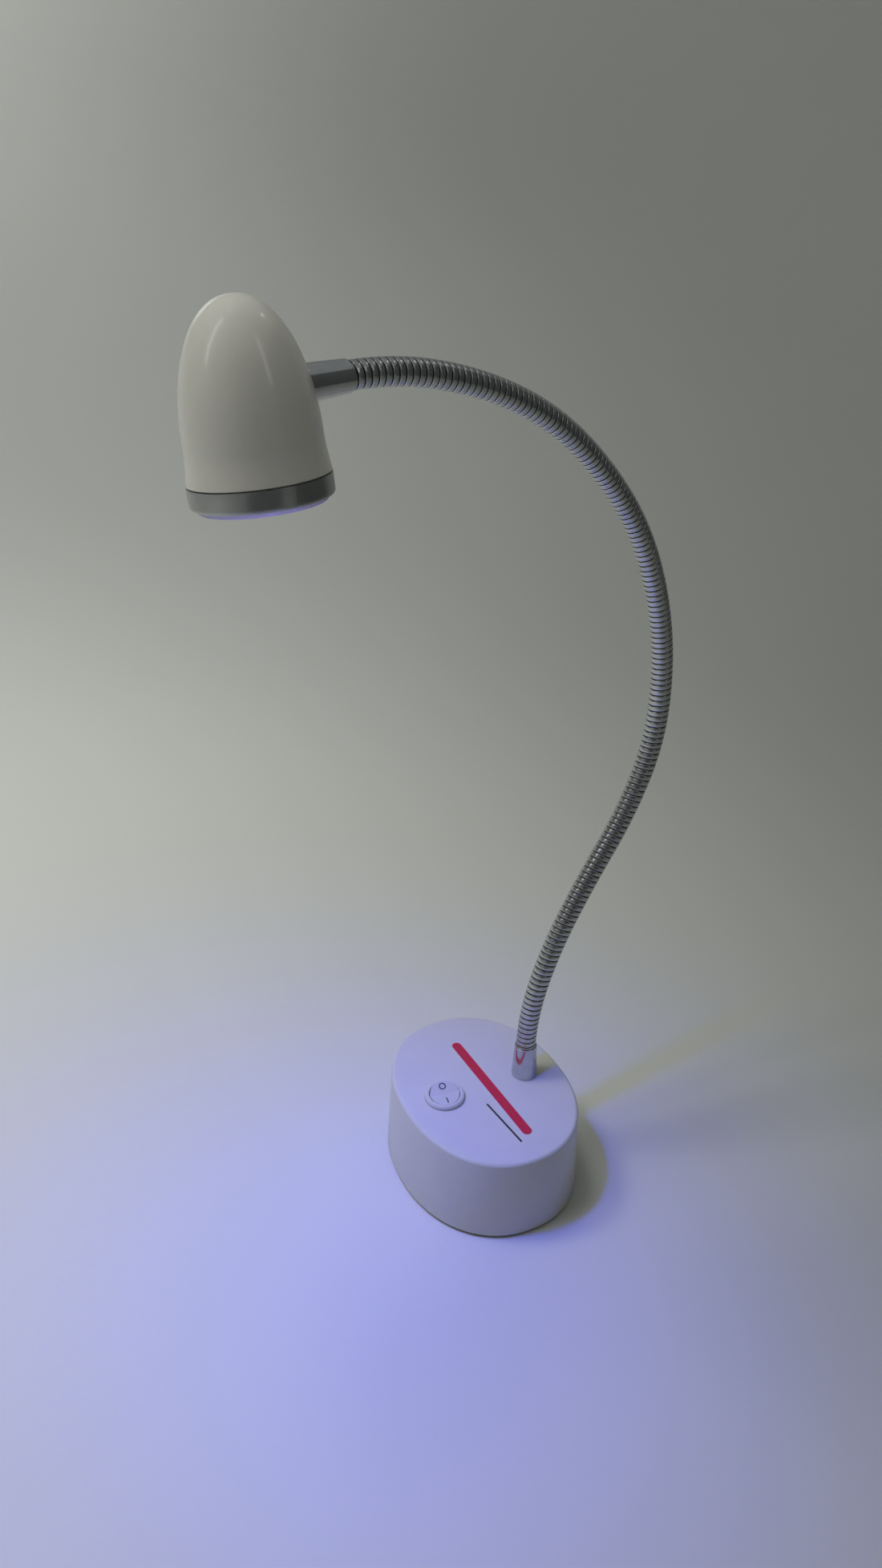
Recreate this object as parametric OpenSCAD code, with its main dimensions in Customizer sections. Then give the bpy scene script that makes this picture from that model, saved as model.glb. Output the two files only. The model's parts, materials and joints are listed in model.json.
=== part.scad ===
// UV curing lamp: an oval weighted base with a round rocker switch, a gooseneck and a bullet head.
// Millimetres, +Z up. The origin is the middle of the base's underside. The switch side faces -Y;
// the neck rises from the +Y side of the base and arches forwards over the switch.

/* [Base] */
// Length of the base's top, left to right
base_len = 92.4; // [91.4:0.2:94]
// Depth of the base's top, front to back
base_dep = 72; // [71.6:0.2:74]
// How much deeper the base is at its foot than at its top
base_flare = 3.8; // [3.4:0.2:4.2]
// Height of the base's top face above the table
base_h = 40; // [39.5:0.5:43]
// Roundness exponent of the oval outline, where 2 is a plain ellipse
oval_n = 2.18; // [2.14:0.02:2.4]
// Wall thickness of the housing
wall = 2.2; // [2:0.1:2.4]
// Radius of the rounded edge around the base's top
edge_r = 1.6; // [1:0.1:2]
// Thickness of the anti-slip pad
pad_t = 1.5; // [1.4:0.1:1.8]

/* [Switch] */
// Diameter of the switch's round bezel
bezel_d = 17; // [16.6:0.1:17.6]
// Height of the bezel above the base's top
bezel_h = 2; // [1.8:0.1:2.2]
// Turn of the switch about the vertical
switch_turn = -8; // [-15:1:15]
// Tilt of the rocker from level, with its I side pressed
rocker_tilt = 11; // [9:0.5:12]

/* [Neck] */
// Outer diameter of the gooseneck
hose_d = 8.4; // [8.2:0.1:8.5]
// Length of the gooseneck between its two ferrules
hose_len = 373; // [364:1:382]
// Turn of the neck's plane about the vertical
neck_turn = 9.5; // [0:0.5:14]
// Height of each ferrule, from its seat to its lip
ferrule_h = 16; // [15:0.5:18]

/* [Head] */
// Diameter of the trim ring around the mouth
ring_d = 40; // [39.6:0.2:41]
// Height of the trim ring
ring_h = 6; // [5.4:0.1:6.4]
// Height of the domed part of the shell
dome_h = 38; // [37:0.5:40]
// Roundness exponent of the dome, where 2 is an ellipsoid
dome_n = 2.12; // [2.06:0.02:2.3]
// Roll of the head about the end of the neck
head_roll = 6; // [-10:0.5:10]

/* [Hidden] */
$fn = 64;

// Turn of each length of neck in degrees, from the base upwards, with backwards positive
bends = [19, 12, 5, -13, -22, -14, -13, -15, -11, -15, -12, -15];
LINKS = len(bends);

// Overrun of a cut past the face that it opens
eps = 0.5;

// Base: the housing's foot stands on the pad, and its plate is inside the foot
foot_grow = 0.4;
pad_inset = 1.3;
top_t = 2.6;
top_in = base_h - top_t;
plate_t = 2.5;
plate_z = pad_t + plate_t;
plate_gap = 0.4;
oval_steps = 96;

// Screws through the plate into the housing's bosses
screw_x = 34;
screw_y = 19;
screw_r = 1.2;
screw_head_r = 2.3;
screw_head_t = 1.4;
screw_len = 10;
boss_r = 3;

// Three AA cells side by side, with their length along X, in a tray above the plate
cell_d = 14.5;
cell_len = 50.5;
cell_nub_d = 5.5;
cell_nub = 1;
cell_pitch = 14.8;
cell_z = plate_z + 0.8 + cell_d / 2;
bay_len = 54.5;
bay_dep = 3 * cell_pitch + 0.4;
bay_wall = 1.4;
bay_top = cell_z + cell_d / 2 + 0.4;
tray_top = bay_top + bay_wall;
contact_t = 0.5;

// Battery door, in a window through the plate and the pad
door_len = bay_len + 2;
door_dep = bay_dep + 2;
door_gap = 0.3;
door_t = 1.6;
door_z = pad_t + 0.3;

// Driver board on top of the tray
board_size = [24, 18];
board_pos = [17, 4];
standoff = 1;
board_t = 1.2;
driver_z = tray_top + standoff;
wire_r = 0.6;

// Switch, with the rocker's pivot just under the top of its bezel
switch_pos = [-0.5, -18];
barrel_r = 7.3;
barrel_low = base_h - 15;
rocker_r = 6.2;
rocker_hole_r = 6.5;
pivot_z = base_h + bezel_h - 0.9;
pin_r = 0.6;
pin_hole_r = 0.7;
rocker_low = 3.2;
rocker_mid = 0.6;
rocker_slope = 9;
mark_at = 3.6;
mark_t = 0.12;

// Ferrules: a cone with a socket for the hose, and a threaded tail with a washer and a nut
ferrule_foot_r = 5.4;
ferrule_lip_r = 4.7;
tail_r = 4;
tail_len = 8;
tail_hole_r = 4.05;
wire_hole_r = 1.7;
hose_in = 7;
washer_r = 7;
washer_t = 0.8;
nut_across = 12;
nut_t = 3.5;

// Neck: the links form a chain of arcs in one upright plane, with a ball joint between each pair
neck_pos = [0.5, 19.5];
neck_z = base_h + ferrule_h;
hose_r = hose_d / 2;
link_len = hose_len / LINKS;
ball_r = 3.3;
cup_r = 3.5;
bore_r = 1.5;
lead_r = 0.9;
cable_low = 28;
// A straight stub starts this far inside the arc that it continues, and is this much slimmer
stub_lap = 0.5;
stub_step = 0.05;
// Half the angle that two links can close up at their joint
end_slope = 10;
// Radius of the flared mouth of a ball's bore, which leaves the cable room to swing
mouth_r = 2.4;
// How far each lead stops short of the joint's middle
lead_gap = 0.35;

// Head, measured along its own axis from the mouth, with the ferrule's seat on its +Y side
ring_r = ring_d / 2;
foot_r = ring_r - 0.1;
dome_r = ring_r - 1.05;
dome_z = ring_h + 8.5;
dome_steps = 24;
shell_t = 2;
groove = 0.45;
collar_r = 17.4;
collar_in_r = 16.2;
collar_z = 10;
shelf_z = 1.8;
lens_r = 18.2;
lens_low = -1.2;
lens_edge_r = 0.8;
gasket_t = 0.4;
gasket_in_r = 14.6;
ferrule_at = 28;
seat_r = 15.1;
inner_seat_r = 12.4;
led_z = 16;
led_board_r = 14;
led_board_t = 1.2;
sink_r = 15.4;
sink_t = 1.4;
fin_top = 23.5;
fin_pitch = 3;
drop_at = 6;
sleeve_r = 1.2;

// ---- names, outlines and frames ----

function link_name(stem, i) = str(stem, i < 10 ? "0" : "", i);

// Closed oval outline with half-axes a and b
function oval(a, b) = [
    for (i = [0:oval_steps - 1])
    let (t = 360 * i / oval_steps, c = cos(t), s = sin(t))
    [a * sign(c) * pow(abs(c), 2 / oval_n), b * sign(s) * pow(abs(s), 2 / oval_n)]
];

// Solid through a stack of ovals, each given as [half-length, half-depth, height]
module oval_stack(rows) {
    n = oval_steps;
    top = n * (len(rows) - 1);
    points = [for (r = rows) for (p = oval(r[0], r[1])) [p[0], p[1], r[2]]];
    sides = [
        for (low = [0:n:top - 1]) for (i = [0:n - 1])
        let (a = low + i, b = low + (i + 1) % n)
        each [[a, a + n, b], [b, a + n, b + n]]
    ];
    caps = [[for (i = [0:n - 1]) i], [for (i = [n - 1:-1:0]) top + i]];
    polyhedron(points, concat(sides, caps));
}

// Start of a link in the neck's plane, as [distance back, height, lean from the vertical]
function joint_at(i) = i == 1 ? [0, neck_z, 0] : along(joint_at(i - 1), bends[i - 2], link_len);

// A point and lean moved a length s along an arc that turns by b
function along(p, b, s) =
    let (rho = s * 180 / (PI * b))
    [p[0] + rho * (cos(p[2]) - cos(p[2] + b)), p[1] + rho * (sin(p[2] + b) - sin(p[2])), p[2] + b];

// Places children in the neck's plane, with +Z along the neck
module at(p) {
    translate([neck_pos[0], neck_pos[1], 0])
        rotate([0, 0, neck_turn])
            translate([0, p[0], p[1]])
                rotate([-p[2], 0, 0])
                    children();
}

// Places children in the head's own frame
module in_head() {
    at(joint_at(LINKS + 1))
        rotate([0, 0, head_roll])
            translate([0, 0, seat_r + ferrule_h])
                rotate([-90, 0, 0])
                    translate([0, 0, -ferrule_at])
                        children();
}

module in_switch() {
    translate([switch_pos[0], switch_pos[1], pivot_z])
        rotate([0, 0, switch_turn])
            children();
}

// Round bar along an arc that leaves the origin along +Z and turns by b towards +Y
module arc_bar(r, b, s) {
    rho = s * 180 / (PI * abs(b));
    rotate([0, 0, b > 0 ? 0 : 180])
        translate([0, rho, 0])
            rotate([90, 0, -90])
                rotate_extrude(angle = abs(b))
                    translate([rho, 0])
                        circle(r);
}

// Round bar from p to q
module bar(p, q, r) {
    d = q - p;
    translate(p)
        rotate([0, acos(d[2] / norm(d)), atan2(d[1], d[0])])
            cylinder(r = r, h = norm(d));
}

module at_screws() {
    for (x = [-screw_x, screw_x], y = [-screw_y, screw_y]) translate([x, y, 0]) children();
}

// ---- base ----

foot_a = (base_len + foot_grow) / 2;
foot_b = (base_dep + base_flare) / 2;

module base_housing() {
    color("ghostwhite")
    difference() {
        union() {
            difference() {
                oval_stack(concat(
                    [[foot_a, foot_b, pad_t]],
                    [for (t = [0:22.5:90])
                        let (in = edge_r * (1 - cos(t)))
                        [base_len / 2 - in, base_dep / 2 - in, base_h - edge_r * (1 - sin(t))]]
                ));
                oval_stack([
                    [foot_a - wall, foot_b - wall, pad_t - eps],
                    [base_len / 2 - wall, base_dep / 2 - wall, top_in]
                ]);
            }
            at_screws() translate([0, 0, plate_z]) cylinder(r = boss_r, h = top_in - plate_z + eps);
        }
        at_screws() translate([0, 0, plate_z - eps]) cylinder(r = screw_r + 0.05, h = screw_len);
        translate([switch_pos[0], switch_pos[1], top_in - eps])
            cylinder(r = barrel_r + 0.1, h = top_t + 2 * eps);
        translate([neck_pos[0], neck_pos[1], top_in - eps])
            cylinder(r = tail_hole_r, h = top_t + 2 * eps);
    }
}

module base_plate() {
    color("gray")
    difference() {
        translate([0, 0, pad_t])
            linear_extrude(plate_t)
                polygon(oval(foot_a - wall - plate_gap, foot_b - wall - plate_gap));
        door_window(door_gap, door_z + door_t - pad_t + eps);
        translate([0, 0, pad_t + plate_t / 2])
            cube([bay_len, bay_dep, plate_t + 2 * eps], center = true);
        at_screws() {
            translate([0, 0, pad_t - eps]) cylinder(r = screw_r + 0.15, h = plate_t + 2 * eps);
            translate([0, 0, pad_t - eps]) cylinder(r = screw_head_r + 0.2, h = screw_head_t + eps);
        }
    }
}

// The cut that the battery door sits in, grown by gap on each side
module door_window(gap, h) {
    translate([0, 0, pad_t - eps + h / 2])
        cube([door_len + 2 * gap, door_dep + 2 * gap, h], center = true);
}

module plate_screws() {
    color("silver")
    at_screws() translate([0, 0, pad_t + 0.1]) {
        difference() {
            cylinder(r = screw_head_r, h = screw_head_t - 0.1);
            translate([0, 0, -eps]) cylinder(r = 1, h = 0.7 + eps, $fn = 6);
        }
        translate([0, 0, screw_head_t - 0.1]) cylinder(r = screw_r, h = screw_len - screw_head_t);
    }
}

module anti_slip_pad() {
    color("dimgray")
    difference() {
        linear_extrude(pad_t) polygon(oval(foot_a - pad_inset, foot_b - pad_inset));
        translate([0, 0, pad_t / 2])
            cube([door_len + 2, door_dep + 2, pad_t + 2 * eps], center = true);
    }
}

module ballast_blocks() {
    block_in = bay_len / 2 + bay_wall + 0.6;
    color("darkslategray")
    translate([0, 0, plate_z])
        linear_extrude(tray_top + 3 - plate_z)
            intersection() {
                polygon(oval(base_len / 2 - wall - 0.8, base_dep / 2 - wall - 0.8));
                for (side = [-1, 1])
                    translate([side * (block_in + 10), 0])
                        square([20, 2 * (screw_y - boss_r - 1)], center = true);
            }
}

module battery_tray() {
    color("lightgray")
    difference() {
        translate([0, 0, (plate_z + tray_top) / 2])
            cube([bay_len + 2 * bay_wall, bay_dep + 2 * bay_wall, tray_top - plate_z], center = true);
        translate([0, 0, (plate_z - eps + bay_top) / 2])
            cube([bay_len, bay_dep, bay_top - plate_z + eps], center = true);
    }
    color("lightgray")
    for (x = [-1, 1], y = [-1, 1])
        translate([board_pos[0] + x * (board_size[0] / 2 - 2.5),
                   board_pos[1] + y * (board_size[1] / 2 - 2.5), tray_top])
            cylinder(r = 1.5, h = standoff);
}

// Every other cell is turned end for end
module battery_cells() {
    body = cell_len - cell_nub;
    color("goldenrod")
    for (k = [-1:1])
        translate([0, k * cell_pitch, cell_z])
            rotate([0, 0, k == 0 ? 180 : 0])
                rotate([0, 90, 0])
                    translate([0, 0, -cell_len / 2]) {
                        cylinder(d = cell_d, h = body);
                        translate([0, 0, body]) cylinder(d = cell_nub_d, h = cell_nub);
                    }
}

// A plate behind each end of each cell, with a coil at each flat end
module battery_contacts() {
    gap = (bay_len - cell_len) / 2 - contact_t;
    color("silver")
    for (k = [-1:1], side = [-1, 1])
        translate([side * bay_len / 2, k * cell_pitch, cell_z])
            rotate([0, -side * 90, 0]) {
                translate([0, 0, contact_t / 2]) cube([9, 9, contact_t], center = true);
                translate([0, 0, contact_t])
                    cylinder(r1 = 3.5, r2 = side * (k == 0 ? -1 : 1) < 0 ? 2.4 : 2, h = gap);
            }
}

module battery_door() {
    color("dimgray")
    difference() {
        union() {
            translate([0, 0, door_z + door_t / 2]) cube([door_len, door_dep, door_t], center = true);
            for (y = [-0.5, 0.5])
                translate([0, y * cell_pitch, door_z + door_t + 0.8])
                    cube([bay_len - 12, 2, 1.6 + 0.2], center = true);
        }
        translate([door_len / 2 - 5, 0, door_z - 7]) rotate([90, 0, 0])
            cylinder(r = 7.8, h = 16, center = true);
    }
}

module driver_board() {
    color("darkgreen")
    translate([board_pos[0], board_pos[1], driver_z + board_t / 2])
        cube([board_size[0], board_size[1], board_t], center = true);
}

module driver_parts() {
    color("black")
    translate([board_pos[0], board_pos[1], driver_z + board_t]) {
        translate([-6, -2.5, 0]) cylinder(d = 7, h = 3);
        translate([3, -5.5, 0]) cube([6, 4.2, 1.6]);
        translate([3, 2, 0]) cube([3.2, 1.6, 1.2]);
        translate([8, 2, 0]) cylinder(d = 4, h = 4.4);
    }
}

// Two wires from the switch's terminals to the board, and one from the board to the neck's cable
module base_leads() {
    board_x = board_pos[0] - board_size[0] / 2;
    z = driver_z + board_t + wire_r;
    color("firebrick") {
        for (side = [-1, 1])
            bar([switch_pos[0] + side * 3, switch_pos[1] + 2, barrel_low - 1.6],
                [board_x + 4 + side * 1.5, board_pos[1] - 7.5, z], wire_r);
        bar([neck_pos[0], neck_pos[1], cable_low - wire_r], [board_x + 2, board_pos[1] + 6, z], wire_r);
    }
}

// ---- switch ----

module switch_body() {
    round_r = 1.3;
    low = barrel_low - pivot_z;
    seat = base_h - pivot_z;
    rim = seat + bezel_h;
    mouth_bevel = 0.3;
    color("ghostwhite")
    in_switch()
        difference() {
            rotate_extrude()
                polygon(concat(
                    [[0, low], [barrel_r, low], [barrel_r, seat], [bezel_d / 2, seat]],
                    [for (t = [0:15:90])
                        [bezel_d / 2 - round_r * (1 - cos(t)), rim - round_r * (1 - sin(t))]],
                    [[0, rim]]
                ));
            translate([0, 0, -rocker_r - 0.6]) cylinder(r = rocker_hole_r, h = 20);
            translate([0, 0, rim - mouth_bevel])
                cylinder(r1 = rocker_hole_r, r2 = rocker_hole_r + 2 * mouth_bevel, h = 2 * mouth_bevel);
            rotate([90, 0, 0]) cylinder(r = pin_hole_r, h = 2 * 7.5, center = true);
        }
}

module tilted() {
    in_switch() rotate([0, rocker_tilt, 0]) children();
}

// A ball cut to a shallow valley on top, so that it turns in its round hole without opening a gap
module switch_rocker() {
    rise = 7 * tan(rocker_slope);
    color("ghostwhite")
    tilted() {
        intersection() {
            sphere(rocker_r);
            rotate([90, 0, 0])
                linear_extrude(20, center = true)
                    polygon([[-7, -rocker_low], [7, -rocker_low], [7, rocker_mid + rise],
                             [0, rocker_mid], [-7, rocker_mid + rise]]);
        }
        for (side = [0, 180])
            rotate([0, 0, side]) rotate([90, 0, 0])
                translate([0, 0, rocker_r - 0.8]) cylinder(r = pin_r, h = 1.8);
    }
}

// The O and the stroke, raised a hair above the rocker's two halves
module switch_marks() {
    z = rocker_mid + mark_at * tan(rocker_slope);
    color("dimgray")
    tilted() {
        translate([-mark_at, 0, z]) rotate([0, rocker_slope, 0])
            linear_extrude(mark_t) difference() {
                circle(1.55);
                circle(1);
            }
        translate([mark_at, 0, z]) rotate([0, -rocker_slope, 0])
            linear_extrude(mark_t) square([2.9, 0.55], center = true);
    }
}

module switch_terminals() {
    color("silver")
    in_switch()
        for (x = [-3, 3])
            translate([x, 0, barrel_low - pivot_z - 1.4]) cube([0.6, 2.4, 2.8], center = true);
}

// ---- ferrules ----

// Turned ferrule with its seat at the origin, its lip up and its threaded tail down
module ferrule() {
    lip = 0.4;
    color("silver")
    difference() {
        union() {
            rotate_extrude()
                polygon(concat(
                    [[0, 0], [ferrule_foot_r - 0.3, 0], [ferrule_foot_r, 0.3],
                     [ferrule_lip_r, ferrule_h - lip]],
                    [for (t = [30:30:90])
                        [ferrule_lip_r - lip * (1 - cos(t)), ferrule_h - lip * (1 - sin(t))]],
                    [[0, ferrule_h]]
                ));
            translate([0, 0, -tail_len]) cylinder(r = tail_r, h = tail_len + eps);
        }
        translate([0, 0, ferrule_h - hose_in]) cylinder(r = hose_r + 0.05, h = hose_in + eps);
        translate([0, 0, -tail_len - eps]) cylinder(r = wire_hole_r, h = ferrule_h + tail_len);
    }
}

// Washer under a seat wall of thickness t, with the ferrule's seat at the origin
module washer(t) {
    color("lightsteelblue")
    translate([0, 0, -t - washer_t])
        difference() {
            cylinder(r = washer_r, h = washer_t);
            translate([0, 0, -eps]) cylinder(r = tail_hole_r, h = washer_t + 2 * eps);
        }
}

module nut(t) {
    color("lightsteelblue")
    translate([0, 0, -t - washer_t - nut_t])
        difference() {
            cylinder(d = nut_across / cos(30), h = nut_t, $fn = 6);
            translate([0, 0, -eps]) cylinder(r = tail_hole_r, h = nut_t + 2 * eps);
        }
}

module on_base() {
    translate([neck_pos[0], neck_pos[1], base_h]) rotate([0, 0, neck_turn]) children();
}

module on_head() {
    in_head() translate([0, seat_r, ferrule_at]) rotate([-90, 0, 0]) children();
}

module base_ferrule() { on_base() ferrule(); }

module base_ferrule_washer() { on_base() washer(top_t); }

module base_ferrule_nut() { on_base() nut(top_t); }

module head_ferrule() { on_head() ferrule(); }

module head_ferrule_washer() { on_head() washer(seat_r - inner_seat_r); }

module head_ferrule_nut() { on_head() nut(seat_r - inner_seat_r); }

// ---- gooseneck ----

// Solid of revolution below a cone that opens upwards from the joint's middle
module below_cone() {
    rotate_extrude()
        polygon([[0, 0], [6, 6 * tan(end_slope)], [6, -2], [0, -2]]);
}

// One length of the neck: a ball at its lower end and a cup at its upper end. The first and last
// lengths end in a plain stub inside their ferrule instead.
module neck_link(i) {
    b = bends[i - 1];
    top = along([0, 0, 0], b, link_len);
    first = i == 1;
    last = i == LINKS;
    color("silver")
    at(joint_at(i))
        difference() {
            union() {
                difference() {
                    arc_bar(hose_r, b, link_len);
                    if (!first) below_cone();
                }
                if (first) mirror([0, 0, 1]) stub(hose_r - stub_step, hose_in);
                else sphere(ball_r);
                if (last) in_arc(top) stub(hose_r - stub_step, hose_in);
            }
            arc_bar(bore_r, b, link_len);
            if (first) mirror([0, 0, 1]) stub(bore_r + stub_step, hose_in + eps);
            else translate([0, 0, -ball_r])
                cylinder(r1 = mouth_r, r2 = bore_r + stub_step, h = ball_r + stub_lap);
            if (last) in_arc(top) stub(bore_r + stub_step, hose_in + eps);
            else in_arc(top) {
                sphere(cup_r);
                mirror([0, 0, 1]) below_cone();
            }
        }
}

// Straight end of a link, which laps the arc a little
module stub(r, h) {
    translate([0, 0, -stub_lap]) cylinder(r = r, h = h + stub_lap);
}

// Places children at a point of the link's own plane, with +Z along the neck
module in_arc(p) {
    translate([0, p[0], p[1]]) rotate([-p[2], 0, 0]) children();
}

// The cable inside one length of neck, which stops just short of each joint. The last one ends in a
// sleeve that turns down to the LED board.
module neck_lead(i) {
    gap = lead_gap / link_len;
    b = bends[i - 1];
    low = i == 1 ? 0 : gap;
    high = i == LINKS ? 1 : 1 - gap;
    start = i == 1 ? joint_at(i) : along(joint_at(i), b * gap, lead_gap);
    top = along([0, 0, 0], b * (high - low), link_len * (high - low));
    color("dimgray")
    at(start) {
        arc_bar(lead_r, b * (high - low), link_len * (high - low));
        if (i == 1) mirror([0, 0, 1]) stub(lead_r - stub_step, neck_z - cable_low);
        if (i == LINKS) in_arc(top) stub(lead_r - stub_step, seat_r + ferrule_h - drop_at);
    }
    if (i == LINKS)
        color("dimgray") in_head()
            translate([0, drop_at, led_z + led_board_t])
                cylinder(r = sleeve_r, h = ferrule_at + sleeve_r + 0.2 - led_z - led_board_t);
}

// ---- head ----

// Half-outline of the dome: radius r at the start, height h, from the rim to the axis
function dome(r, z, h) = [
    for (k = [0:dome_steps])
    let (t = 90 * k / dome_steps)
    [k == dome_steps ? 0 : r * pow(cos(t), 2 / dome_n), z + h * pow(sin(t), 2 / dome_n)]
];

module shell_outside() {
    rotate_extrude()
        polygon(concat(
            [[0, ring_h], [foot_r - 1, ring_h], [foot_r - 1, ring_h + groove], [foot_r, ring_h + groove]],
            dome(dome_r, dome_z, dome_h)
        ));
}

module head_shell() {
    color("ghostwhite")
    in_head()
        difference() {
            union() {
                difference() {
                    shell_outside();
                    rotate_extrude()
                        polygon(concat(
                            [[0, ring_h - eps], [collar_r + 0.2, ring_h - eps], [collar_r + 0.2, collar_z]],
                            dome(dome_r - shell_t, dome_z, dome_h - shell_t)
                        ));
                }
                intersection() {
                    shell_outside();
                    translate([0, inner_seat_r, ferrule_at]) rotate([-90, 0, 0])
                        cylinder(r = washer_r + 0.5, h = 6);
                }
            }
            translate([0, inner_seat_r - eps, ferrule_at]) rotate([-90, 0, 0])
                cylinder(r = tail_hole_r, h = 10);
            translate([0, seat_r, ferrule_at]) rotate([-90, 0, 0])
                cylinder(r = ferrule_foot_r + 0.1, h = 6);
        }
}

module trim_ring() {
    round_r = 1.2;
    color("silver")
    in_head()
        rotate_extrude()
            polygon(concat(
                [[lens_r + 0.2, 0]],
                [for (t = [0:22.5:90])
                    [ring_r - round_r * (1 - sin(t)), round_r * (1 - cos(t))]],
                [[ring_r, ring_h], [collar_r, ring_h], [collar_r, collar_z],
                 [collar_in_r, collar_z], [collar_in_r, shelf_z], [lens_r + 0.2, shelf_z]]
            ));
}

module lens() {
    color("lavender")
    in_head()
        rotate_extrude()
            polygon(concat(
                [[0, lens_low]],
                [for (t = [0:22.5:90])
                    [lens_r - lens_edge_r * (1 - sin(t)), lens_low + lens_edge_r * (1 - cos(t))]],
                [[lens_r, shelf_z - gasket_t], [0, shelf_z - gasket_t]]
            ));
}

module lens_gasket() {
    color("black")
    in_head()
        translate([0, 0, shelf_z - gasket_t])
            difference() {
                cylinder(r = lens_r, h = gasket_t);
                translate([0, 0, -eps]) cylinder(r = gasket_in_r, h = gasket_t + 2 * eps);
            }
}

module reflector() {
    t = 0.8;
    color("gainsboro")
    in_head()
        rotate_extrude()
            polygon([[gasket_in_r + 0.4, shelf_z], [gasket_in_r + 1.4, shelf_z],
                     [gasket_in_r + 1.4, shelf_z + 1], [5.5 + t, led_z - 1], [9, led_z - 1],
                     [9, led_z], [5.5, led_z], [5.5, led_z - 1 - t],
                     [gasket_in_r + 0.4, shelf_z + 1]]);
}

module led_board() {
    color("white")
    in_head() translate([0, 0, led_z]) cylinder(r = led_board_r, h = led_board_t);
}

module led_emitter() {
    color("khaki")
    in_head()
        translate([0, 0, led_z]) mirror([0, 0, 1]) {
            cylinder(r = 3.8, h = 1.4);
            intersection() {
                translate([0, 0, 1]) sphere(2.4);
                cylinder(r = 3, h = 4);
            }
        }
}

module heat_sink() {
    low = led_z + led_board_t;
    color("slategray")
    in_head()
        difference() {
            union() {
                translate([0, 0, low]) cylinder(r = sink_r, h = sink_t);
                intersection() {
                    translate([0, 0, low]) cylinder(r = sink_r - 1, h = fin_top - low);
                    for (k = [-4:2])
                        translate([0, k * fin_pitch, low + (fin_top - low) / 2])
                            cube([2 * sink_r, 1.2, fin_top - low], center = true);
                }
            }
            translate([0, drop_at, low - eps]) cylinder(r = sleeve_r + 0.3, h = 10);
        }
}

// ---- output ----

base_housing();
base_plate();
plate_screws();
anti_slip_pad();
ballast_blocks();
battery_tray();
battery_cells();
battery_contacts();
battery_door();
driver_board();
driver_parts();
base_leads();
switch_body();
switch_rocker();
switch_marks();
switch_terminals();
base_ferrule();
base_ferrule_washer();
base_ferrule_nut();
for (i = [1:LINKS]) {
    neck_link(i);
    neck_lead(i);
}
head_ferrule();
head_ferrule_washer();
head_ferrule_nut();
head_shell();
trim_ring();
lens();
lens_gasket();
reflector();
led_board();
led_emitter();
heat_sink();
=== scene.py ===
"""UV curing lamp: finishes for the CAD pieces, smooth shells for the base and the head, the neck's
coil, the printed mark on the base, and a camera and soft light on a pale floor."""
import json
import math

import bmesh
import bpy
from mathutils import Matrix, Vector

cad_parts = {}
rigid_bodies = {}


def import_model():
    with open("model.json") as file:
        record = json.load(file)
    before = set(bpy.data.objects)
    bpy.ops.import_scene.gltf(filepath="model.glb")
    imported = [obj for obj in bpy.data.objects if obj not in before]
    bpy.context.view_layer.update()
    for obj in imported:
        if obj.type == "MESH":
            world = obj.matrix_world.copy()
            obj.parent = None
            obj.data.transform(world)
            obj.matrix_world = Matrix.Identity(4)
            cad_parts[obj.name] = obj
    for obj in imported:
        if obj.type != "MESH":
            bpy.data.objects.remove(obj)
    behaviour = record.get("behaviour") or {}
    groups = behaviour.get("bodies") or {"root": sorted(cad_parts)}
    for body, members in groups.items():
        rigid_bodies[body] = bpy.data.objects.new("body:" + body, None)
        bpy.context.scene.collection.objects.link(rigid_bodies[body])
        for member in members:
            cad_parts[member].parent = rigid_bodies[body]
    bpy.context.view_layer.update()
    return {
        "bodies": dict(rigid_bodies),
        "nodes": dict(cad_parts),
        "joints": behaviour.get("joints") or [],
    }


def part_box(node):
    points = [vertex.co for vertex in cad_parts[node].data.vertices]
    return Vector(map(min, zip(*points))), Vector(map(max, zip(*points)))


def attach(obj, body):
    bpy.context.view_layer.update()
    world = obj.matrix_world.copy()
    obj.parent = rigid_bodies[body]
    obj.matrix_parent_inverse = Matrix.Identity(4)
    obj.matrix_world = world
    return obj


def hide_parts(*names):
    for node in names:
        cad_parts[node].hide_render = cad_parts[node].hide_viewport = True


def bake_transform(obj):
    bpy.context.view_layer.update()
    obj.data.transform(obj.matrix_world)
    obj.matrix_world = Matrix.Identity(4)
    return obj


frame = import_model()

MM = 0.001
NODES = frame["nodes"]
UP = Vector((0, 0, 1))


# ---- camera ---------------------------------------------------------------------------------

# Height of the sensor and focal length, in camera millimetres
SENSOR_H = 36
FOCAL = 26.742
CAMERA_AT = Vector((327.2, -188.8, 382.7)) * MM
CAMERA_TURN = math.radians(-63.2)
CAMERA_DOWN = math.radians(27.82)
CAMERA_ROLL = math.radians(1.40)


def add_camera():
    ahead = Vector((math.sin(CAMERA_TURN), math.cos(CAMERA_TURN), 0))
    look = ahead * math.cos(CAMERA_DOWN) - UP * math.sin(CAMERA_DOWN)
    level = ahead.cross(UP)
    above = level.cross(look)
    right = level * math.cos(CAMERA_ROLL) + above * math.sin(CAMERA_ROLL)
    top = above * math.cos(CAMERA_ROLL) - level * math.sin(CAMERA_ROLL)
    data = bpy.data.cameras.new("camera")
    data.sensor_fit = "VERTICAL"
    data.sensor_height = SENSOR_H
    data.lens = FOCAL
    data.clip_start = 0.01
    camera = bpy.data.objects.new("camera", data)
    camera.matrix_world = Matrix((right, top, -look)).transposed().to_4x4()
    camera.matrix_world.translation = CAMERA_AT
    bpy.context.scene.collection.objects.link(camera)
    bpy.context.scene.camera = camera


add_camera()


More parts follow.
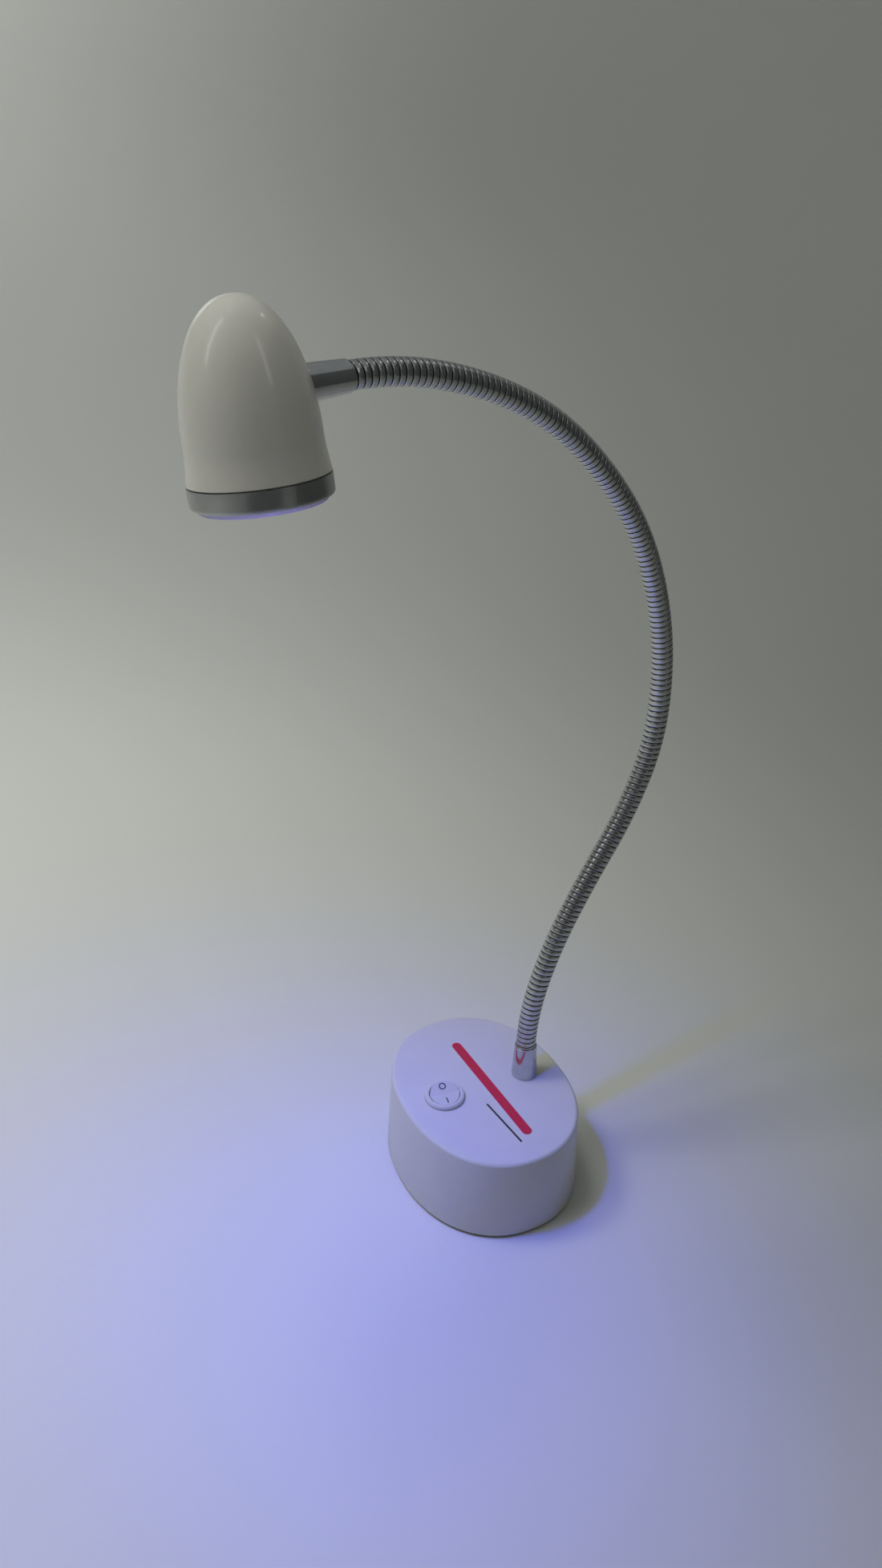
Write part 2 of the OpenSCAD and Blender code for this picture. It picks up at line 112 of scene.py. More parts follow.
# ---- materials ------------------------------------------------------------------------------

class Finish:
    """A Principled material with short calls for the textures that every finish here uses."""

    def __init__(self, name, colour, roughness, metallic=0.0, **sockets):
        self.material = bpy.data.materials.new(name)
        self.material.use_nodes = True
        self.tree = self.material.node_tree
        self.shader = self.tree.nodes["Principled BSDF"]
        self.colour = (*colour, 1)
        self.set("Base Color", self.colour)
        self.set("Roughness", roughness)
        self.set("Metallic", metallic)
        for socket, value in sockets.items():
            self.set(socket.replace("_", " "), value)
        self.place = self.node("ShaderNodeTexCoord").outputs["Object"]
        self.height = None

    def node(self, kind, **inputs):
        node = self.tree.nodes.new(kind)
        for socket, value in inputs.items():
            self.plug(node.inputs[socket], value)
        return node

    def plug(self, socket, value):
        if isinstance(value, bpy.types.NodeSocket):
            self.tree.links.new(value, socket)
        else:
            socket.default_value = value

    def set(self, socket, value):
        self.plug(self.shader.inputs[socket], value)

    def noise(self, size, detail=3.0, stretch=(1, 1, 1), turn=(0, 0, 0)):
        """Noise whose lumps are about size metres across, stretched along the turned axes."""
        place = self.place
        if stretch != (1, 1, 1) or turn != (0, 0, 0):
            frame_node = self.node("ShaderNodeMapping", Vector=place, Rotation=turn)
            shrink = self.node("ShaderNodeMapping", Vector=frame_node.outputs[0], Scale=stretch)
            place = shrink.outputs[0]
        node = self.node("ShaderNodeTexNoise", Vector=place, Scale=1 / size, Detail=detail)
        return node.outputs["Fac"]

    def span(self, value, low, high, start=0.3, end=0.7):
        node = self.node("ShaderNodeMapRange")
        for socket, number in zip(node.inputs[:5], (value, start, end, low, high)):
            self.plug(socket, number)
        return node.outputs[0]

    def tones(self, value, other):
        """The base colour drifts towards another one where value is high."""
        node = self.node("ShaderNodeMix")
        node.data_type = "RGBA"
        colours = [s for s in node.inputs if s.type == "RGBA"]
        self.plug(node.inputs[0], value)
        self.plug(colours[0], self.colour)
        self.plug(colours[1], (*other, 1))
        self.set("Base Color", [s for s in node.outputs if s.type == "RGBA"][0])

    def bump(self, height, depth):
        """Adds relief of about depth metres."""
        node = self.node("ShaderNodeBump", Height=height, Distance=depth)
        if self.height is not None:
            self.plug(node.inputs["Normal"], self.height)
        self.height = node.outputs[0]
        self.set("Normal", self.height)


def gloss_plastic(name, colour, shade, roughness=0.33, coat=0.25):
    """Moulded gloss plastic: faint flow marks, a little orange peel and fine handling haze."""
    f = Finish(name, colour, roughness, Coat_Weight=coat, Coat_Roughness=0.12)
    f.tones(f.span(f.noise(24 * MM, 4, (1, 1, 0.35)), 0, 1), shade)
    f.set("Roughness", f.span(f.noise(14 * MM, 1), roughness - 0.03, roughness + 0.04))
    f.bump(f.noise(5 * MM, 2), 0.006 * MM)
    return f.material


def matt_plastic(name, colour, shade):
    """Spark-textured plastic with scuffed highs."""
    f = Finish(name, colour, 0.6)
    f.tones(f.span(f.noise(6 * MM, 5), 0, 1), shade)
    f.set("Roughness", f.span(f.noise(1.5 * MM, 4), 0.5, 0.75))
    f.bump(f.noise(0.3 * MM, 4), 0.03 * MM)
    return f.material


def rubber(name, colour, shade):
    """Dull rubber or soft sheathing, with a fine grain."""
    f = Finish(name, colour, 0.75, Sheen_Weight=0.15, Sheen_Roughness=0.5)
    f.tones(f.span(f.noise(3 * MM, 6), 0, 1), shade)
    f.set("Roughness", f.span(f.noise(2 * MM, 4), 0.65, 0.88))
    f.bump(f.noise(0.4 * MM, 5), 0.04 * MM)
    return f.material


def chrome(name, colour=(0.60, 0.61, 0.63), roughness=0.10):
    """Bright plating with hairline polishing marks and a few dull, fingered places."""
    f = Finish(name, colour, roughness, 1.0)
    f.tones(f.span(f.noise(4 * MM, 4), 0, 1), tuple(0.86 * c for c in colour))
    f.set("Roughness", f.span(f.noise(3 * MM, 6), roughness - 0.03, roughness + 0.10))
    f.bump(f.noise(1.2 * MM, 5, (1, 1, 9)), 0.003 * MM)
    return f.material


def brushed(name, colour, roughness, turn=(0, 0, 0), along=(1, 1, 14)):
    """Satin metal whose grain runs round the turned Z axis, so its highlights spread up and down."""
    f = Finish(name, colour, roughness, 1.0, Anisotropic=0.8, Anisotropic_Rotation=0.25)
    f.tones(f.span(f.noise(8 * MM, 4), 0, 1), tuple(0.8 * c for c in colour))
    f.set("Roughness", f.span(f.noise(3 * MM, 2, along, turn), roughness - 0.03, roughness + 0.04))
    f.bump(f.noise(0.8 * MM, 3, along, turn), 0.001 * MM)
    return f.material


def printed(name, colour, shade):
    """Pad-printed ink: slightly uneven cover and a softer gloss than the plastic below it."""
    f = Finish(name, colour, 0.38)
    f.tones(f.span(f.noise(1.2 * MM, 5), 0, 1, 0.4, 0.75), shade)
    f.set("Roughness", f.span(f.noise(0.8 * MM, 4), 0.3, 0.5))
    f.bump(f.noise(0.25 * MM, 3), 0.006 * MM)
    return f.material


def frosted_lens(name, centre, radius):
    """Frosted lens, lit violet from behind and brightest in the middle."""
    f = Finish(name, (0.38, 0.38, 0.40), 0.4, Transmission_Weight=0.35, IOR=1.49)
    away = f.node("ShaderNodeVectorMath")
    away.operation = "DISTANCE"
    f.plug(away.inputs[0], f.place)
    away.inputs[1].default_value = centre
    glow = f.span(away.outputs["Value"], 1.6, 0.02, 0.15 * radius, 0.9 * radius)
    f.set("Emission Color", (0.45, 0.40, 1.0, 1))
    f.set("Emission Strength", glow)
    f.set("Roughness", f.span(f.noise(1.5 * MM, 4), 0.3, 0.55))
    f.bump(f.noise(0.3 * MM, 4), 0.01 * MM)
    return f.material


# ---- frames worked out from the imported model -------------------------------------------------

def middle(node):
    low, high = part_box(node)
    return (Vector(low) + Vector(high)) / 2


def centre_and_normal(node):
    """The middle of a flat round node's points, and the normal of its largest face."""
    points = [v.co for v in NODES[node].data.vertices]
    centre = sum(points, Vector()) / len(points)
    largest = max(NODES[node].data.polygons, key=lambda p: p.area)
    return centre, largest.normal.normalized()


LENS_R = 18 * MM
LENS_CENTRE, LENS_NORMAL = centre_and_normal("lens")
HEAD_AXIS = LENS_NORMAL if LENS_NORMAL.z > 0 else -LENS_NORMAL
HEAD_TURN = HEAD_AXIS.rotation_difference(UP).to_euler()


# ---- finishes on the CAD nodes ---------------------------------------------------------------

def wear(material, *names):
    for name in names:
        slots = NODES[name].data.materials
        slots.clear()
        slots.append(material)


WHITE = gloss_plastic("base_white", (0.56, 0.56, 0.52), (0.535, 0.535, 0.495))
SWITCH_WHITE = gloss_plastic("switch_white", (0.54, 0.54, 0.51), (0.51, 0.51, 0.485))
PEARL = gloss_plastic("head_pearl", (0.80, 0.78, 0.71), (0.77, 0.75, 0.67), coat=0.8)
CHROME = chrome("ferrule_chrome")
COIL = chrome("coil_chrome", (0.55, 0.56, 0.57), 0.18)
# The dark finish for the bottom of the coil's grooves is painted shade: it stands in for the shade deep
# between the windings
GROOVE_SHADE = brushed("groove_painted_shade", (0.045, 0.045, 0.05), 0.5)

wear(CHROME, "base_ferrule", "head_ferrule")
wear(COIL, *[n for n in NODES if n.startswith("neck_link_")])
wear(rubber("lead_sheath", (0.03, 0.03, 0.035), (0.05, 0.05, 0.055)),
     *[n for n in NODES if n.startswith("neck_lead_")])
wear(PEARL, "head_shell")
wear(brushed("ring_satin", (0.44, 0.45, 0.45), 0.33, HEAD_TURN), "trim_ring")
wear(frosted_lens("lens_frosted", LENS_CENTRE, LENS_R), "lens")
wear(rubber("gasket_black", (0.02, 0.02, 0.02), (0.04, 0.04, 0.04)), "lens_gasket")
wear(chrome("reflector_bright", (0.88, 0.88, 0.90), 0.06), "reflector")
wear(matt_plastic("led_board_white", (0.80, 0.80, 0.78), (0.70, 0.70, 0.68)), "led_board")
wear(gloss_plastic("emitter_resin", (0.75, 0.66, 0.25), (0.68, 0.58, 0.20)), "led_emitter")
wear(brushed("sink_aluminium", (0.45, 0.47, 0.50), 0.38), "heat_sink")
wear(SWITCH_WHITE, "switch_body", "switch_rocker")
wear(printed("mark_ink", (0.06, 0.06, 0.07), (0.12, 0.12, 0.13)), "switch_marks")
wear(rubber("pad_rubber", (0.03, 0.03, 0.033), (0.055, 0.055, 0.06)), "anti_slip_pad")
wear(matt_plastic("plate_grey", (0.17, 0.17, 0.18), (0.13, 0.13, 0.14)), "base_plate")
wear(matt_plastic("door_grey", (0.13, 0.13, 0.14), (0.10, 0.10, 0.11)), "battery_door")
wear(matt_plastic("tray_grey", (0.55, 0.55, 0.57), (0.48, 0.48, 0.50)), "battery_tray")
wear(brushed("zinc", (0.62, 0.64, 0.68), 0.35), "plate_screws", "base_ferrule_washer",
     "base_ferrule_nut", "head_ferrule_washer", "head_ferrule_nut")
wear(brushed("ballast_steel", (0.30, 0.31, 0.33), 0.45), "ballast_blocks")
wear(brushed("contact_nickel", (0.68, 0.66, 0.60), 0.30), "battery_contacts", "switch_terminals")
wear(printed("cell_sleeve", (0.50, 0.33, 0.08), (0.42, 0.26, 0.06)), "battery_cells")
wear(printed("board_mask", (0.02, 0.16, 0.06), (0.01, 0.11, 0.04)), "driver_board")
wear(matt_plastic("part_black", (0.03, 0.03, 0.03), (0.06, 0.06, 0.06)), "driver_parts")
wear(rubber("wire_red", (0.45, 0.03, 0.02), (0.36, 0.02, 0.02)), "base_leads")


# ---- mesh helpers ----------------------------------------------------------------------------

# Points nearer than this become one
WELD = 0.002 * MM
LATHE_SIDES = 144


def add_mesh(name, points, faces, material, smooth_angle=35):
    """A new object, smooth except where its faces meet at more than smooth_angle degrees."""
    data = bpy.data.meshes.new(name)
    data.from_pydata([tuple(p) for p in points], [], faces)
    data.validate()
    data.materials.append(material)
    for polygon in data.polygons:
        polygon.use_smooth = True
    data.set_sharp_from_angle(angle=math.radians(smooth_angle))
    piece = bpy.data.objects.new(name, data)
    bpy.context.scene.collection.objects.link(piece)
    return piece


def ring_faces(columns, rows):
    """Quads between closed rows of points, row after row."""
    return [
        (r * columns + c, r * columns + (c + 1) % columns,
         (r + 1) * columns + (c + 1) % columns, (r + 1) * columns + c)
        for r in range(rows - 1) for c in range(columns)
    ]


def weld(piece):
    """Joins the points that lie on each other, and turns every face outward."""
    mesh = bmesh.new()
    mesh.from_mesh(piece.data)
    bmesh.ops.remove_doubles(mesh, verts=mesh.verts, dist=WELD)
    bmesh.ops.recalc_face_normals(mesh, faces=mesh.faces)
    mesh.to_mesh(piece.data)
    mesh.free()


def lathe(name, outline, placed, material):
    """Solid of revolution about the placed frame's Z, from a half-outline of (radius, height)."""
    points = [placed @ Vector((r * math.cos(turn), r * math.sin(turn), z))
              for r, z in outline
              for turn in (math.tau * c / LATHE_SIDES for c in range(LATHE_SIDES))]
    piece = add_mesh(name, points, ring_faces(LATHE_SIDES, len(outline)), material)
    weld(piece)
    return piece


def carve(piece, tool):
    """Cuts a tool's solid out of a piece, and removes the tool."""
    modifier = piece.modifiers.new("carve", "BOOLEAN")
    modifier.object, modifier.operation, modifier.solver = tool, "DIFFERENCE", "EXACT"
    ready = piece.evaluated_get(bpy.context.evaluated_depsgraph_get())
    mesh = bpy.data.meshes.new_from_object(ready)
    piece.modifiers.clear()
    piece.data = mesh
    bpy.data.objects.remove(tool)
    weld(piece)


# ---- base housing ----------------------------------------------------------------------------

# The outline is an oval a little fuller than an ellipse, and narrows from the foot to TOP_HALF
OVAL_POWER = 2 / 2.18
OVAL_STEPS = 240
WALL = 2.2 * MM
TOP_EDGE_R, TOP_EDGE_STEPS = 1.6 * MM, 8
FOOT_EDGE_R, FOOT_EDGE_STEPS = 0.35 * MM, 4
TOP_HALF = Vector((46.2, 36.0)) * MM
SWITCH_HOLE_R = 7.4 * MM
TAIL_HOLE_R = 4.05 * MM
BORE_REACH = 30 * MM


def oval_ring(half_x, half_y, z):
    """One level closed row of points round the oval."""
    ring = []
    for k in range(OVAL_STEPS):
        turn = math.tau * k / OVAL_STEPS
        c, s = math.cos(turn), math.sin(turn)
        ring.append((half_x * math.copysign(abs(c) ** OVAL_POWER, c),
                     half_y * math.copysign(abs(s) ** OVAL_POWER, s), z))
    return ring


def add_housing():
    """A closed shell from the ceiling down the inside, round the foot and up the outside to the top."""
    low, high = (Vector(c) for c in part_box("base_housing"))
    foot_x, foot_y = high.x, high.y
    ceiling = high.z - WALL
    rows = [oval_ring(0, 0, ceiling),
            oval_ring(TOP_HALF.x - WALL, TOP_HALF.y - WALL, ceiling),
            oval_ring(foot_x - WALL, foot_y - WALL, low.z)]
    for step in range(FOOT_EDGE_STEPS + 1):
        turn = math.radians(90 * step / FOOT_EDGE_STEPS)
        inset = FOOT_EDGE_R * (1 - math.sin(turn))
        rows.append(oval_ring(foot_x - inset, foot_y - inset,
                              low.z + FOOT_EDGE_R * (1 - math.cos(turn))))
    for step in range(TOP_EDGE_STEPS + 1):
        turn = math.radians(90 * step / TOP_EDGE_STEPS)
        inset = TOP_EDGE_R * (1 - math.cos(turn))
        rows.append(oval_ring(TOP_HALF.x - inset, TOP_HALF.y - inset,
                              high.z - TOP_EDGE_R * (1 - math.sin(turn))))
    for share in (0.92, 0.6, 0.2, 0):
        rows.append(oval_ring(TOP_HALF.x * share, TOP_HALF.y * share, high.z))
    faces = ring_faces(OVAL_STEPS, len(rows))
    piece = add_mesh("housing_shell", [p for row in rows for p in row], faces, WHITE)
    weld(piece)
    for node, r in (("switch_body", SWITCH_HOLE_R), ("base_ferrule", TAIL_HOLE_R)):
        axis = Matrix.Translation(middle(node))
        bore = [(0, -BORE_REACH), (r, -BORE_REACH), (r, BORE_REACH), (0, BORE_REACH)]
        carve(piece, lathe("bore", bore, axis, WHITE))
    piece.data.set_sharp_from_angle(angle=math.radians(50))
    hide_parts("base_housing")
    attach(piece, "base")


add_housing()


# ---- printed mark on the base ----------------------------------------------------------------

PRINT_LIFT = 0.03 * MM
PRINT_END_STEPS = 12


def add_print(name, centre, length, width, turn, material):
    """Flat stripe with round ends, a hair above the base's top."""
    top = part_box("base_housing")[1][2] + PRINT_LIFT
    along = Vector((math.cos(turn), math.sin(turn), 0))
    across = Vector((-along.y, along.x, 0))
    r = width / 2
    points = []
    for end in (1, -1):
        for k in range(PRINT_END_STEPS + 1):
            a = math.radians(-90 + 180 * k / PRINT_END_STEPS)
            points.append(Vector((centre[0], centre[1], top))
                          + end * along * (length / 2 - r + r * math.cos(a))
                          + end * across * r * math.sin(a))
    piece = add_mesh(name, points, [tuple(range(len(points)))], material)
    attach(piece, "base")


RED_INK = printed("ink_red", (0.55, 0.02, 0.06), (0.45, 0.015, 0.05))
BLACK_INK = printed("ink_black", (0.02, 0.02, 0.022), (0.05, 0.05, 0.05))
add_print("print_red_stripe", (2 * MM, 2.3 * MM), 62 * MM, 4.2 * MM, math.radians(2.5), RED_INK)
add_print("print_black_line", (23 * MM, -2.6 * MM), 25 * MM, 0.9 * MM, math.radians(6), BLACK_INK)


# ---- gooseneck coil --------------------------------------------------------------------------

COIL_R = 4.2 * MM
COIL_TURNS = 162
COIL_SIDES = 36
HIDDEN_TURNS = 2
# One turn of the coil, as (share of the pitch, depth below the crest): a groove, painted dark as shade at
# its bottom, and a flat rib
COIL_PROFILE = [(0.0, 0.60 * MM), (0.085, 0.16 * MM), (0.12, 0.06 * MM), (0.20, 0.012 * MM),
                (0.50, 0.0), (0.80, 0.012 * MM), (0.88, 0.06 * MM), (0.915, 0.16 * MM)]
SHADED_GROOVE_ROWS = (0, len(COIL_PROFILE) - 1)
NECK_JOINTS = [j for j in frame["joints"] if j["name"].startswith(("lower", "middle", "upper"))]


class Arc:
    """One length of the neck: from start along tangent, turning by turn about axis."""

    def __init__(self, start, tangent, axis, turn, length):
        self.start, self.tangent, self.axis = start, tangent, axis
        self.turn, self.length = turn, length

    def at(self, share):
        """(point, tangent) at a share of the length."""
        angle = self.turn * share
        spin = Matrix.Rotation(angle, 3, self.axis)
        tangent = spin @ self.tangent
        if abs(self.turn) < 1e-6:
            return self.start + self.tangent * self.length * share, tangent
        radius = self.length / self.turn
        inward = self.axis.cross(self.tangent)
        return self.start + inward * radius - spin @ inward * radius, tangent


def signed_angle(a, b, axis):
    """Turn about axis that takes a to b, where both are square to it."""
    return math.atan2(a.cross(b).dot(axis), a.dot(b))


def neck_arcs():
    """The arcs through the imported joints, each leaving along the one before it. The last one ends
    square to the head's axis."""
    low, high = (Vector(c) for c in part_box("base_ferrule"))
    start = Vector(((low.x + high.x) / 2, (low.y + high.y) / 2, high.z))
    tangent = UP.copy()
    axis = Vector(NECK_JOINTS[0]["axis"]).normalized()
    arcs = []
    for joint in NECK_JOINTS:
        chord = Vector(joint["pos_m"]) - start
        half = signed_angle(tangent, chord, axis)
        arcs.append(Arc(start, tangent, axis, 2 * half, chord.length * half / math.sin(half)))
        start, tangent = arcs[-1].at(1)
    ahead = axis.cross(HEAD_AXIS).normalized()
    ahead *= math.copysign(1, ahead.dot(tangent))
    arcs.append(Arc(start, tangent, axis, signed_angle(tangent, ahead, axis), arcs[-1].length))
    return arcs


ARCS = neck_arcs()
LINK_LENGTH = ARCS[0].length
HOSE_LENGTH = LINK_LENGTH * len(ARCS)
COIL_PITCH = HOSE_LENGTH / COIL_TURNS


def neck_at(s):
    """(point, tangent) at a distance s along the neck, straight on past both ends."""
    if s <= 0:
        return ARCS[0].start + ARCS[0].tangent * s, ARCS[0].tangent
    if s >= HOSE_LENGTH:
        end, tangent = ARCS[-1].at(1)
        return end + tangent * (s - HOSE_LENGTH), tangent
    k = min(int(s / LINK_LENGTH), len(ARCS) - 1)
    return ARCS[k].at(s / LINK_LENGTH - k)


def coil_strip(name, first, last):
    """The wound surface from one turn of the coil to another. Its rows climb with the winding, so
    that the groove is crisp: a row's last point lies one pitch above its first."""
    side = -ARCS[0].axis
    points = []
    for turn in range(first, last + 1):
        for share, depth in COIL_PROFILE[:None if turn < last else 1]:
            for c in range(COIL_SIDES + 1):
                centre, tangent = neck_at((turn + share + c / COIL_SIDES) * COIL_PITCH)
                angle = math.tau * c / COIL_SIDES
                out = side * math.cos(angle) + tangent.cross(side) * math.sin(angle)
                points.append(centre + out * (COIL_R - depth))
    columns = COIL_SIDES + 1
    faces = [
        (r * columns + c, r * columns + c + 1, (r + 1) * columns + c + 1, (r + 1) * columns + c)
        for r in range(len(points) // columns - 1) for c in range(COIL_SIDES)
    ]
    piece = add_mesh(name, points, faces, COIL, 70)
    # The second material, on the faces at each groove's bottom, is the painted shade
    piece.data.materials.append(GROOVE_SHADE)
    for k, polygon in enumerate(piece.data.polygons):
        if k // COIL_SIDES % len(COIL_PROFILE) in SHADED_GROOVE_ROWS:
            polygon.material_index = 1
    weld(piece)
    return piece


def add_coil():
    """One piece for each joint, from the middle of the length below it to the middle of the one above."""
    cuts = [round((k + 0.5) * LINK_LENGTH / COIL_PITCH) for k in range(len(NECK_JOINTS) + 1)]
    for k, joint in enumerate(NECK_JOINTS):
        first = -HIDDEN_TURNS if k == 0 else cuts[k]
        last = COIL_TURNS + HIDDEN_TURNS if joint is NECK_JOINTS[-1] else cuts[k + 1]
        piece = coil_strip(f"coil_{k + 1:02d}", first, last)
        links = [f"neck_link_{k + 2:02d}"] + (["neck_link_01"] if k == 0 else [])
        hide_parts(*links)
        start, end = neck_at((cuts[k] + 1) * COIL_PITCH)[0], neck_at(cuts[k + 1] * COIL_PITCH)[0]
        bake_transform(piece)


add_coil()


# ---- head shell ------------------------------------------------------------------------------

# Distances from the head's mouth, along its axis, and from the axis
RING_H = 6 * MM
GROOVE_H = 0.45 * MM
FOOT_R = 19.9 * MM
DOME_R = 18.95 * MM
DOME_Z = 14.5 * MM
DOME_H = 38 * MM
DOME_POWER = 2 / 2.12
SHELL_T = 2 * MM
COLLAR_HOLE_R = 17.6 * MM
COLLAR_Z = 10 * MM
FERRULE_AT = 28 * MM
FERRULE_H = 16 * MM
SEAT_R = 15.1 * MM
INNER_SEAT_R = 12.4 * MM
SEAT_HOLE_R = 5.5 * MM
BOSS_R = 7.5 * MM
ROD_SPARE = 6 * MM
DOME_STEPS = 48
FLARE_STEPS = 16
FLARE_EASE = 0.2


def head_frame():
    """Origin at the middle of the head's mouth, +Z along its axis, +Y towards its ferrule's seat."""
    lip, inward = neck_at(HOSE_LENGTH)
    side = -inward.cross(HEAD_AXIS)
    placed = Matrix((side, -inward, HEAD_AXIS)).transposed().to_4x4()
    placed.translation = lip + inward * (SEAT_R + FERRULE_H) - HEAD_AXIS * FERRULE_AT
    return placed


def dome(r, h):
    """Half-outline of the dome from its widest place to its top."""
    turns = [math.radians(90) * k / DOME_STEPS for k in range(DOME_STEPS)]
    return [(r * math.cos(t) ** DOME_POWER, DOME_Z + h * math.sin(t) ** DOME_POWER)
            for t in turns] + [(0, DOME_Z + h)]


def flare():
    """The shell's skirt, from the groove up: an even slope that eases into the dome's upright side."""
    low = RING_H + GROOVE_H

    def slope(share):
        return math.hypot(share, FLARE_EASE) - FLARE_EASE

    return [(DOME_R + (FOOT_R - DOME_R) * slope(1 - k / FLARE_STEPS) / slope(1),
             low + (DOME_Z - low) * k / FLARE_STEPS) for k in range(FLARE_STEPS)]


def add_head_shell():
    """The shell, its bore for the ring's collar, and the seat and hole that hold the ferrule."""
    placed = head_frame()
    seat = placed @ Matrix.Translation((0, 0, FERRULE_AT)) @ Matrix.Rotation(math.radians(-90), 4, "X")
    rim = [(0, RING_H), (FOOT_R - MM, RING_H), (FOOT_R - MM, RING_H + GROOVE_H)]
    outside = rim + flare() + dome(DOME_R, DOME_H)
    inside = [(0, RING_H - MM), (COLLAR_HOLE_R, RING_H - MM), (COLLAR_HOLE_R, COLLAR_Z)]
    inside += dome(DOME_R - SHELL_T, DOME_H - SHELL_T)

    def rod(r, low, high):
        return lathe("rod", [(0, low), (r, low), (r, high), (0, high)], seat, PEARL)

    hollow = lathe("hollow", inside, placed, PEARL)
    carve(hollow, rod(BOSS_R, INNER_SEAT_R, INNER_SEAT_R + ROD_SPARE))
    shell = lathe("shell_of_head", outside, placed, PEARL)
    carve(shell, hollow)
    carve(shell, rod(TAIL_HOLE_R, INNER_SEAT_R - MM, SEAT_R + MM))
    carve(shell, rod(SEAT_HOLE_R, SEAT_R, SEAT_R + ROD_SPARE))
    shell.data.set_sharp_from_angle(angle=math.radians(35))
    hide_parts("head_shell")
    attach(shell, "head")


add_head_shell()


# ---- stage and light -------------------------------------------------------------------------

# Directions in the photograph's view: to its left, and towards its camera
VIEW_LEFT = Vector((-math.cos(CAMERA_TURN), math.sin(CAMERA_TURN), 0))
VIEW_NEAR = Vector((-math.sin(CAMERA_TURN), -math.cos(CAMERA_TURN), 0))


FLOOR_COLUMNS, FLOOR_RINGS = 96, 40
FLOOR_REACH, FLAT_R = 2.6, 0.45
WALL_RISE, WALL_POWER = 0.36, 2.3


def add_stage():
    """A pale floor that curves up into a pale wall all round, with no corner."""
    f = Finish("floor_paper", (0.62, 0.63, 0.60), 0.8)
    f.tones(f.span(f.noise(0.5, 3), 0, 1), (0.60, 0.61, 0.58))
    f.bump(f.noise(1.5 * MM, 4), 0.02 * MM)
    radii = [0.1 * MM] + [FLOOR_REACH * k / FLOOR_RINGS for k in range(1, FLOOR_RINGS + 1)]
    turns = [math.tau * c / FLOOR_COLUMNS for c in range(FLOOR_COLUMNS)]
    points = [(r * math.cos(turn), r * math.sin(turn), WALL_RISE * max(0.0, r - FLAT_R) ** WALL_POWER)
              for r in radii for turn in turns]
    add_mesh("floor", points, ring_faces(FLOOR_COLUMNS, len(radii)), f.material, 60)


FELT = Finish("flag_felt", (0.22, 0.22, 0.22), 0.9).material
FLAG_H = 1.1


def add_flag(name, foot, across, height):
    """An upright dark card, out of the camera's sight, which darkens the sides that face it."""
    corners = ((-0.5, 0), (0.5, 0), (0.5, height), (-0.5, height))
    points = [foot + across * x + UP * z for x, z in corners]
    flag = add_mesh(name, points, [(0, 1, 2, 3)], FELT)
    flag.visible_camera = flag.visible_shadow = False


def add_light(name, kind, at, aim, watts):
    data = bpy.data.lights.new(name, kind)
    data.energy = watts
    data.color = (1.0, 1.0, 0.98)
    lamp = bpy.data.objects.new(name, data)
    lamp.location = at
    lamp.rotation_euler = (at - aim).to_track_quat("Z", "Y").to_euler()
    lamp.visible_camera = lamp.visible_glossy = lamp.visible_transmission = False
    bpy.context.scene.collection.objects.link(lamp)
    return lamp


def add_panel(name, at, aim, watts, size):
    """An upright soft panel, which glossy surfaces reflect."""
    lamp = add_light(name, "AREA", at, aim, watts)
    lamp.data.shape = "RECTANGLE"
    lamp.data.size, lamp.data.size_y = size
    lamp.visible_glossy = True


def add_pool(name, at, aim, cone, watts, soft=0.2):
    """A spot whose light fades all the way to the edge of its cone."""
    lamp = add_light(name, "SPOT", at, aim, watts)
    lamp.data.spot_size = math.radians(cone)
    lamp.data.spot_blend = 1.0
    lamp.data.shadow_soft_size = soft
    return lamp


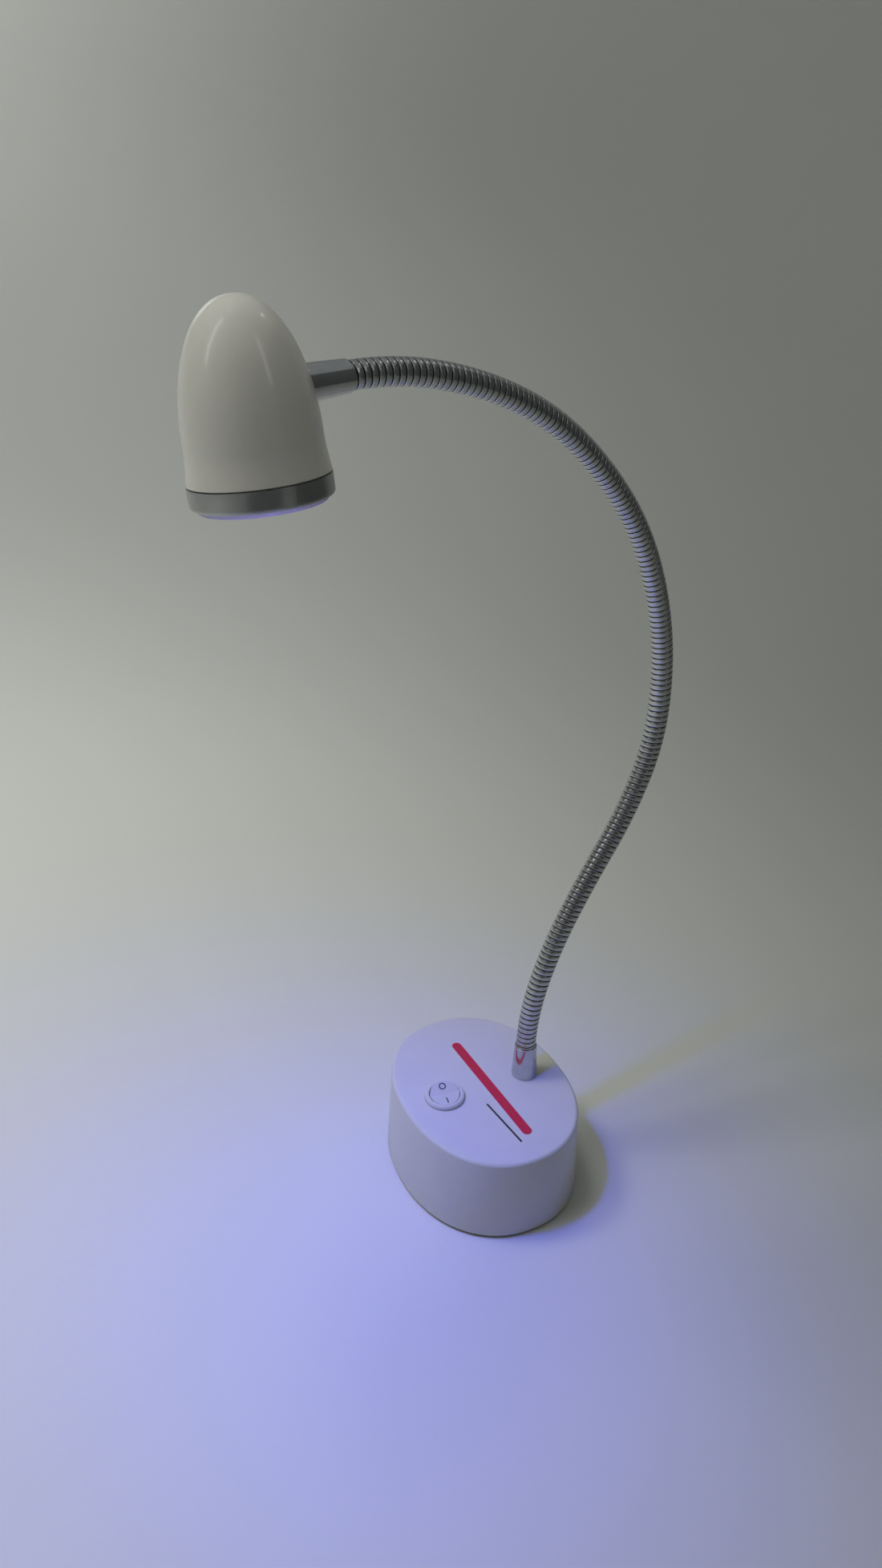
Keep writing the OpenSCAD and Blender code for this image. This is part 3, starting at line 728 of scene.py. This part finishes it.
def add_glow():
    """The lamp's own violet light, just below the lens, which moves with the head."""
    at = LENS_CENTRE - HEAD_AXIS * 3 * MM
    aim = at - HEAD_AXIS + VIEW_LEFT * 0.18 + VIEW_NEAR * 0.09
    lamp = add_pool("uv_glow", at, aim, 116, 2.6, 9 * MM)
    lamp.data.color = (0.03, 0.07, 1.0)
    lamp.parent = frame["bodies"]["head"]


def add_world():
    world = bpy.data.worlds.new("world")
    world.use_nodes = True
    bpy.context.scene.world = world
    background = world.node_tree.nodes["Background"]
    background.inputs["Color"].default_value = (0.95, 1.0, 0.97, 1)
    background.inputs["Strength"].default_value = 0.23


def spot_at(left, near, up):
    """A place in the room, in metres from the lamp's origin, along the view's own directions."""
    return VIEW_LEFT * left + VIEW_NEAR * near + UP * up


def add_lights():
    """Panels that the gloss reflects, pools that shade the floor and the wall, and the lamp's glow."""
    head_height = UP * 0.3
    add_panel("wall", spot_at(1.3, -1.6, 1.2), spot_at(0.8, -2.4, 0.6), 5.5, (0.9, 0.9))
    add_panel("window", spot_at(1.3, 0.6, 1.6), head_height, 2.1, (0.2, 1.5))
    add_panel("side_window", spot_at(-0.7, 0.55, 1.05), UP * 0.25, 0.3, (0.14, 0.6))
    add_panel("glint", spot_at(-0.9, -0.8, 1.8), head_height, 0.25, (0.1, 0.1))
    add_pool("wall_pool", spot_at(1.2, -0.9, 1.6), spot_at(0.9, -2.0, 0.5), 70, 27, 0.25)
    add_pool("left_pool", spot_at(0.9, 0, 1.5), spot_at(0.55, 0, 0), 70, 25.5)
    back = add_pool("back_pool", spot_at(0.9, -0.6, 1.5), spot_at(0.7, -0.9, 0), 75, 24)
    back.visible_glossy = True
    add_pool("down_pool", spot_at(0.35, -0.1, 1.4), spot_at(0.35, -0.1, 0), 50, 20)
    add_pool("near_pool", spot_at(0.7, 0.45, 1.3), spot_at(0.5, 0.35, 0), 60, 15)
    add_glow()


add_stage()
add_flag("flag_near", spot_at(-0.18, 0.85, 0.02), VIEW_LEFT * 0.85, FLAG_H)
add_flag("flag_right", spot_at(-0.75, 0, 0.02), VIEW_NEAR * 1.1, FLAG_H)
add_world()
add_lights()
bpy.context.scene.view_settings.view_transform = "Standard"
